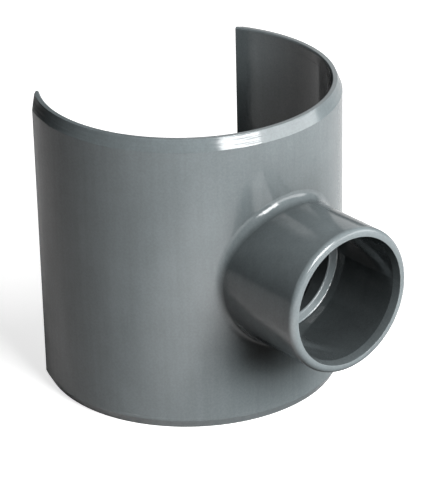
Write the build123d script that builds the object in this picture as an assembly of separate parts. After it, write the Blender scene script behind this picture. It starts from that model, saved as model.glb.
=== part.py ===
"""Tapping saddle: a branch for a small pipe, glued onto the side of a larger pipe.

It is one injection moulding in rigid PVC. The shell is two thirds of a tube and snaps over the
main pipe. The branch stands square on the middle of the shell and ends in a socket for the
branch pipe, with a stop at its bottom and a waterway through the shell.

Frame: +Z runs along the main pipe, +X runs along the branch, and the origin is the point where
the two axes cross. All sizes are in millimetres.
"""

from build123d import *
import os
from math import cos, degrees, hypot, radians, sin

# The pipes that the saddle joins, by their outside diameters
main_pipe_diameter = 93.0
branch_pipe_diameter = 40.0

# Room for the solvent cement, on the radius
seat_clearance = 0.1
socket_clearance = 0.15

# Shell: the part of a tube that hugs the main pipe
shell_length = 99.5
shell_wall = 3.4
shell_wrap_degrees = 240.0
end_bevel_depth = 1.6
upper_bevel_length = 3.8
lower_bevel_length = 3.0
seat_edge_break = 0.4

# Free edges: the wall thins to a lip, so that they can spring over the main pipe
lip_thickness = 1.0
lip_bevel_width = 6.2

# Branch: the round socket that stands on the shell
branch_wall = 3.5
socket_depth = 28.2
rim_round = 1.8
lead_in_flare = 0.8
lead_in_length = 2.5
root_round = 3.2

# Stop: the ledge round the socket's bottom that the branch pipe butts against; the waterway
# is the hole inside it
stop_width = 3.45
stop_edge_round = 0.4
socket_corner_round = 0.6

# Sizes that follow from those above
seat_radius = main_pipe_diameter / 2 + seat_clearance
shell_radius = seat_radius + shell_wall
land_radius = shell_radius - end_bevel_depth
half_length = shell_length / 2
half_wrap = shell_wrap_degrees / 2
socket_radius = branch_pipe_diameter / 2 + socket_clearance
branch_radius = socket_radius + branch_wall
waterway_radius = socket_radius - stop_width
stop_x = shell_radius
mouth_x = stop_x + socket_depth

# How far a cut runs past the surface that it opens, and how near two places count as one
overcut = 10.0
tolerance = 0.001


def polar(radius, angle_degrees):
    """The point in the XY plane at this radius and this angle from the branch."""
    angle = radians(angle_degrees)
    return (radius * cos(angle), radius * sin(angle))


def shell():
    """The wall's section turned about the main pipe's axis, bevelled outside at both ends."""
    edge = seat_edge_break
    section = Polyline(
        (seat_radius, -half_length + edge),
        (seat_radius + edge, -half_length),
        (land_radius, -half_length),
        (shell_radius, -half_length + lower_bevel_length),
        (shell_radius, half_length - upper_bevel_length),
        (land_radius, half_length),
        (seat_radius + edge, half_length),
        (seat_radius, half_length - edge),
        close=True,
    )
    wall = revolve(Plane.XZ * make_face(section), axis=Axis.Z, revolution_arc=shell_wrap_degrees)
    return Rot(0, 0, -half_wrap) * wall


def lip_bevel():
    """What is cut from the outside of the free edge at +Y, to thin the wall to its lip."""
    bevel_start = half_wrap - degrees(lip_bevel_width / shell_radius)
    x1, y1 = polar(shell_radius, bevel_start)
    x2, y2 = polar(seat_radius + lip_thickness, half_wrap)
    reach = overcut / hypot(x2 - x1, y2 - y1)
    before = (x1 - (x2 - x1) * reach, y1 - (y2 - y1) * reach)
    beyond = (x2 + (x2 - x1) * reach, y2 + (y2 - y1) * reach)
    outside = polar(shell_radius + overcut, half_wrap)
    return extrude(make_face(Polyline(before, beyond, outside, close=True)), half_length + overcut, both=True)


def branch():
    """The branch's outside with its rounded rim, cut hollow where the main pipe passes."""
    outline = Polyline(
        (mouth_x - rim_round, branch_radius),
        (0, branch_radius),
        (0, 0),
        (mouth_x, 0),
        (mouth_x, branch_radius - rim_round),
    )
    rim = JernArc((mouth_x, branch_radius - rim_round), (0, 1), rim_round, 90)
    barrel = revolve(make_face([outline, rim]), axis=Axis.X)
    return barrel - Cylinder(seat_radius, 2 * branch_radius + overcut)


def is_root(edge):
    """True for the edges where the branch's outside meets the shell's outside."""
    points = [edge @ t for t in (0.0, 0.25, 0.5, 0.75, 1.0)]
    on_shell = all(abs(hypot(p.X, p.Y) - shell_radius) < tolerance for p in points)
    on_branch = all(abs(hypot(p.Y, p.Z) - branch_radius) < tolerance for p in points)
    return on_shell and on_branch


def bore():
    """What is cut from the branch: the waterway, the socket down to its stop, and the lead-in."""
    outline = Polyline(
        (stop_x - stop_edge_round, waterway_radius),
        (0, waterway_radius),
        (0, 0),
        (mouth_x + overcut, 0),
        (mouth_x + overcut, socket_radius + lead_in_flare),
        (mouth_x, socket_radius + lead_in_flare),
        (mouth_x - lead_in_length, socket_radius),
        (stop_x + socket_corner_round, socket_radius),
    )
    corner = JernArc(outline @ 1, (-1, 0), socket_corner_round, 90)
    edge = JernArc((stop_x, waterway_radius + stop_edge_round), (0, -1), stop_edge_round, -90)
    ledge = Line(corner @ 1, edge @ 0)
    return revolve(make_face([outline, corner, ledge, edge]), axis=Axis.X)


def saddle():
    """The whole moulding."""
    bevel = lip_bevel()
    body = shell() - bevel - mirror(bevel, about=Plane.XZ)
    body = (body + branch()).clean()
    body = fillet(body.edges().filter_by(is_root), root_round)
    return body - bore()


os.makedirs("parts", exist_ok=True)
export_step(saddle(), "parts/saddle.step")
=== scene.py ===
from math import cos, radians, sin

import bpy
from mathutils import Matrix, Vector


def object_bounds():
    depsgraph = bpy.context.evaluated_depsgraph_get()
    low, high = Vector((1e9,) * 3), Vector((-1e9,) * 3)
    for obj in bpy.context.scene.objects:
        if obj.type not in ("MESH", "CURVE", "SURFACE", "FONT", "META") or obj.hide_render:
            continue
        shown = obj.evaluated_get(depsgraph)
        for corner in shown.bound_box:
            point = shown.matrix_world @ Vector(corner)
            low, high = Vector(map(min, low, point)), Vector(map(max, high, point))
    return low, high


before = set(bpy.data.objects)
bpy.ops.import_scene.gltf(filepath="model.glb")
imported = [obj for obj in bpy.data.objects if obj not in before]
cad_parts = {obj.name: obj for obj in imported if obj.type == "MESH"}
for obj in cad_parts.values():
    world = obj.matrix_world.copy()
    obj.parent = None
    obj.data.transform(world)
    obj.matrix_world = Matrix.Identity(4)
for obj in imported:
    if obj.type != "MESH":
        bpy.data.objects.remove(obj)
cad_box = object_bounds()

scene = bpy.context.scene
scene.view_settings.view_transform = "Standard"

# Saddle. The real piece is one injection moulding in grey rigid PVC: a shell that snaps over the main
# pipe, with a socket branch. The mould leaves it satin-glossy, with faint flow streaks and a knit line.
# Its edges get a painted highlight and wear in their roughness; its hollows get painted shade.
pvc_grey = (0.185, 0.215, 0.224)
pvc_roughness = 0.13
pvc_ior = 1.54
flow_streak_spacing = 0.0022
flow_streak_length = 0.045
flow_streak_shade = (0.97, 1.03)
cloud_size = 0.016
cloud_shade = (0.95, 1.05)
speck_size = 0.0007
speck_shade = (0.96, 1.04)
# Painted shade in the hollows: how far to look for cover, the darkest share of the colour, the least
# open sky
hollow_reach = 0.1
hollow_shade = 0.2
least_open = 0.15
# Edges: a painted highlight in their colour, broken up by scuffs, and wear in their roughness
worn_glinting_edge_width = 0.0009
worn_glinting_edge_turn = (0.93, 0.995)
painted_edge_highlight = 1.15
worn_edge_roughness = 0.08
scuff_size = 0.004
scuff_strength = (0.3, 1.0)
scuff_roughness = (-0.02, 0.05)
scratch_spacing = 0.0004
scratch_length = 0.009
scratch_roughness = 0.05
wave_size = 0.011
wave_depth = 0.00009
ripple_spacing = 0.008
ripple_length = 0.07
ripple_depth = 0.00014
striation_spacing = 0.0007
striation_length = 0.012
striation_depth = 0.00009
grain_size = 0.0005
grain_depth = 0.000002
edge_round = 0.0003
socket_radius = 0.0199
stop_x = 0.05
stop_band_half_width = 0.0005
bevel_z = 0.0459
knit_top_z = -0.027
knit_end_z = -0.042
knit_line_width = 0.0006
# The knit line's paler colour is a painted highlight along it
painted_knit_highlight = 1.12
knit_line_depth = 0.00006


class NodeTree:
    """Adds shader nodes to a material, each with its settings and inputs in one call."""

    def __init__(self, material):
        material.use_nodes = True
        self.tree = material.node_tree
        self.tree.nodes.clear()

    def add(self, kind, inputs=(), **settings):
        """A node of this kind. Each of the inputs is a value, or another node's output socket."""
        node = self.tree.nodes.new("ShaderNode" + kind)
        for name, value in settings.items():
            setattr(node, name, value)
        for name, value in dict(inputs).items():
            if isinstance(value, bpy.types.NodeSocket):
                self.tree.links.new(value, node.inputs[name])
            else:
                node.inputs[name].default_value = value
        return node

    def math(self, operation, first, second=0.0):
        """The result of a Math node on two values or sockets."""
        return self.add("Math", {0: first, 1: second}, operation=operation).outputs[0]

    def product(self, *factors):
        """All the factors multiplied together."""
        result = factors[0]
        for factor in factors[1:]:
            result = self.math("MULTIPLY", result, factor)
        return result

    def noise(self, place, size, detail=2.0, stretch=(1.0, 1.0, 1.0)):
        """Noise with features of this size in metres, each axis stretched by its own factor."""
        scale = [1 / (size * factor) for factor in stretch]
        spread = self.add("Mapping", {"Vector": place, "Scale": scale}).outputs[0]
        return self.add("TexNoise", {"Vector": spread, "Scale": 1.0, "Detail": detail}).outputs[0]

    def span(self, value, low, high, start=0.35, end=0.65):
        """Maps values from start to end, which suit noise, onto low to high."""
        return self.add("MapRange", {"Value": value, "From Min": start, "From Max": end,
                                     "To Min": low, "To Max": high}).outputs[0]


def moulded_pvc():
    """Satin-glossy grey PVC, as it leaves the mould."""
    material = bpy.data.materials.new("moulded_pvc_finish")
    nodes = NodeTree(material)
    place = nodes.add("TexCoord").outputs["Object"]
    x, y, z = nodes.add("SeparateXYZ", {"Vector": place}).outputs
    upright = (1, 1, flow_streak_length / flow_streak_spacing)
    streaks = nodes.noise(place, flow_streak_spacing, stretch=upright)
    clouds = nodes.noise(place, cloud_size)
    specks = nodes.noise(place, speck_size, detail=1.0)
    scuffs = nodes.noise(place, scuff_size, detail=6.0)
    upright = (1, 1, scratch_length / scratch_spacing)
    scratches = nodes.noise(place, scratch_spacing, detail=1.0, stretch=upright)

    # Hollows have little open sky over them, and get painted shade. The stop gets none, so it counts as
    # open.
    open_sky = nodes.add("AmbientOcclusion", {"Distance": hollow_reach}, samples=8, only_local=True)
    off_axis = nodes.math("SQRT", nodes.math("ADD", nodes.product(y, y), nodes.product(z, z)))
    at_stop = nodes.add("Math", {0: x, 1: stop_x, 2: stop_band_half_width}, operation="COMPARE")
    on_stop = nodes.product(at_stop.outputs[0], nodes.math("LESS_THAN", off_axis, socket_radius))
    open_sky = nodes.math("MAXIMUM", open_sky.outputs["AO"], on_stop)
    painted_hollow_shade = nodes.span(nodes.product(open_sky, open_sky), hollow_shade, 1.0, start=least_open, end=1.0)

    # Edges are where the surface turns within this width: a painted highlight in colour, wear in
    # roughness
    turned = nodes.add("Bevel", {"Radius": worn_glinting_edge_width}, samples=8).outputs[0]
    flat = nodes.add("NewGeometry").outputs["Normal"]
    likeness = nodes.add("VectorMath", {0: turned, 1: flat}, operation="DOT_PRODUCT").outputs["Value"]
    sharp, dull = worn_glinting_edge_turn
    edges = nodes.product(nodes.span(likeness, 1.0, 0.0, start=sharp, end=dull),
                          nodes.span(scuffs, *scuff_strength))

    # The knit line is where the plastic met again after it had flowed round the branch's core
    # Its groove is the bump further down; its paler colour is a painted highlight along it
    fading = nodes.span(z, 0.0, 1.0, start=knit_end_z, end=knit_top_z)
    below = nodes.math("LESS_THAN", z, knit_top_z)
    in_front = nodes.math("GREATER_THAN", x, 0.0)
    middle = nodes.span(nodes.math("ABSOLUTE", y), 1.0, 0.0, start=0.0, end=knit_line_width)
    knit = nodes.product(middle, fading, below, in_front)

    shade = nodes.product(nodes.span(clouds, *cloud_shade), nodes.span(streaks, *flow_streak_shade),
                          nodes.span(specks, *speck_shade),
                          nodes.span(edges, 1.0, painted_edge_highlight, start=0.0, end=1.0),
                          nodes.span(knit, 1.0, painted_knit_highlight, start=0.0, end=1.0), painted_hollow_shade)
    colour = nodes.add("VectorMath", {0: pvc_grey, "Scale": shade}, operation="SCALE").outputs[0]

    scuffed = nodes.span(scuffs, *scuff_roughness, start=0.4, end=0.75)
    scratched = nodes.span(scratches, 0.0, scratch_roughness, start=0.55, end=0.7)
    worn = nodes.span(edges, 0.0, worn_edge_roughness, start=0.0, end=1.0)
    roughness = nodes.math("ADD", scuffed, pvc_roughness)
    roughness = nodes.math("ADD", roughness, scratched)
    roughness = nodes.math("ADD", roughness, worn)

    rounded = nodes.add("Bevel", {"Radius": edge_round}, samples=6).outputs[0]
    waves = nodes.noise(place, wave_size, detail=1.0)
    upright = (1, 1, ripple_length / ripple_spacing)
    ripples = nodes.noise(place, ripple_spacing, detail=0.0, stretch=upright)

    # Fine turning marks of the mould run round the end bevels
    round_ends = (striation_length / striation_spacing,) * 2 + (1,)
    on_bevels = nodes.math("GREATER_THAN", nodes.math("ABSOLUTE", z), bevel_z)
    striations = nodes.noise(place, striation_spacing, detail=1.0, stretch=round_ends)
    striations = nodes.product(striations, on_bevels)
    grain = nodes.noise(place, grain_size, detail=3.0)
    normal = rounded
    for height, depth in ((waves, wave_depth), (ripples, ripple_depth), (striations, striation_depth),
                          (knit, knit_line_depth), (grain, grain_depth)):
        normal = nodes.add("Bump", {"Height": height, "Distance": depth, "Normal": normal}).outputs[0]

    shader = nodes.add("BsdfPrincipled", {"Base Color": colour, "Roughness": roughness, "Normal": normal,
                                          "IOR": pvc_ior})
    nodes.add("OutputMaterial", {"Surface": shader.outputs[0]})
    return material


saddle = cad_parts["saddle"]
saddle.material_slots[0].material = moulded_pvc()

# Floor. A wide sheet of white paper under the saddle, which the camera sees as pure white by a glow of
# its own. The saddle's gloss alone sees it dimmer, with a painted pool of light brighter than white in
# front of the shell and a painted shadow under the branch, both placed to suit the view from the camera.
floor_size = 6.0
floor_gap = 0.00002
paper_white = 0.8
paper_glow = 0.75
mirrored_white = 1.0
mirrored_glow = 0.05
# The painted pool of light in front of the shell
lit_place = (0.13, -0.065, 0.0)
lit_radius = 0.11
lit_glow = 2.4
# The painted shadow of the branch on the floor
shade_place = (0.085, 0.005, 0.0)
shade_radius = 0.07
shade_depth = 0.9
shade_core = 0.6


def white_paper():
    """Matt paper with one brightness to look at and one to mirror. It bounces no other light."""
    material = bpy.data.materials.new("white_paper")
    nodes = NodeTree(material)
    place = nodes.add("TexCoord").outputs["Object"]

    def spot(centre, radius):
        """1 at the centre, falling to 0 at the radius."""
        inside = nodes.add("Mapping", {"Vector": place, "Location": centre, "Scale": [radius] * 3},
                           vector_type="TEXTURE").outputs[0]
        round_spot = nodes.add("TexGradient", {"Vector": inside}, gradient_type="SPHERICAL")
        return round_spot.outputs["Fac"]

    path = nodes.add("LightPath").outputs
    looked_at = path["Is Camera Ray"]
    mirrored = nodes.math("ADD", path["Is Glossy Ray"], path["Is Transmission Ray"])
    # A painted shadow under the branch, which only the saddle's gloss sees
    shade = spot(shade_place, shade_radius)
    unshaded = nodes.span(shade, 1.0, 1.0 - shade_depth, start=0.0, end=shade_core)
    mirrored = nodes.product(mirrored, unshaded)
    # A painted pool of light, seen only in the saddle's gloss as a painted reflection
    lit = nodes.span(spot(lit_place, lit_radius), mirrored_glow, lit_glow, start=0.0, end=1.0)
    white = nodes.math("ADD", nodes.product(looked_at, paper_white),
                       nodes.product(mirrored, mirrored_white))
    glow = nodes.math("ADD", nodes.product(looked_at, paper_glow), nodes.product(mirrored, lit))
    paper = nodes.add("AddShader", {0: nodes.add("BsdfDiffuse", {"Color": white}).outputs[0],
                                    1: nodes.add("Emission", {"Strength": glow}).outputs[0]})
    nodes.add("OutputMaterial", {"Surface": paper.outputs[0]})
    return material


half = floor_size / 2
corners = [(-half, -half, 0), (half, -half, 0), (half, half, 0), (-half, half, 0)]
floor_mesh = bpy.data.meshes.new("floor")
floor_mesh.from_pydata(corners, [], [(0, 1, 2, 3)])
floor_mesh.materials.append(white_paper())
floor = bpy.data.objects.new("floor", floor_mesh)
floor.location.z = cad_box[0].z - floor_gap
scene.collection.objects.link(floor)

# Lamps. A key softbox in front of the branch lights the shell and the bevel, a wide low one fills from
# the branch's right, and a weak one behind the saddle draws the shell's end. The room is nearly dark.
room_grey = (0.002, 0.002, 0.002, 1.0)
lamps_aim = Vector((0.03, 0.0, 0.0))
lamps_distance = 1.2


def softbox(name, azimuth, elevation, width, height, watts):
    """A soft rectangular lamp that faces the saddle. Its azimuth is in degrees from the branch."""
    lamp = bpy.data.lights.new(name, "AREA")
    lamp.shape = "RECTANGLE"
    lamp.size = width
    lamp.size_y = height
    lamp.energy = watts
    box = bpy.data.objects.new(name, lamp)
    a, e = radians(azimuth), radians(elevation)
    towards = Vector((cos(a) * cos(e), sin(a) * cos(e), sin(e)))
    box.location = lamps_aim + towards * lamps_distance
    box.rotation_euler = towards.to_track_quat("Z", "Y").to_euler()
    scene.collection.objects.link(box)


softbox("key_softbox", azimuth=0, elevation=32, width=0.62, height=0.64, watts=22.0)
softbox("fill_softbox", azimuth=40, elevation=17, width=1.3, height=0.5, watts=9.0)
softbox("back_softbox", azimuth=128, elevation=18, width=0.6, height=0.5, watts=0.8)
world = bpy.data.worlds.new("room")
world.use_nodes = True
world.node_tree.nodes["Background"].inputs["Color"].default_value = room_grey
scene.world = world

# Camera. It looks down on the saddle from the left of the branch, through a long lens, with the
# saddle's shell at the left of the picture and the branch's mouth at the right.
camera_place = (0.606291, -0.480003, 0.366241)
camera_turn = (64.1985, 1.1274, 50.3451)
camera_lens = 196.984
camera_sensor = 36.0
camera_data = bpy.data.cameras.new("camera")
camera_data.lens = camera_lens
camera_data.sensor_width = camera_sensor
camera = bpy.data.objects.new("camera", camera_data)
camera.location = camera_place
camera.rotation_euler = [radians(angle) for angle in camera_turn]
scene.collection.objects.link(camera)
scene.camera = camera
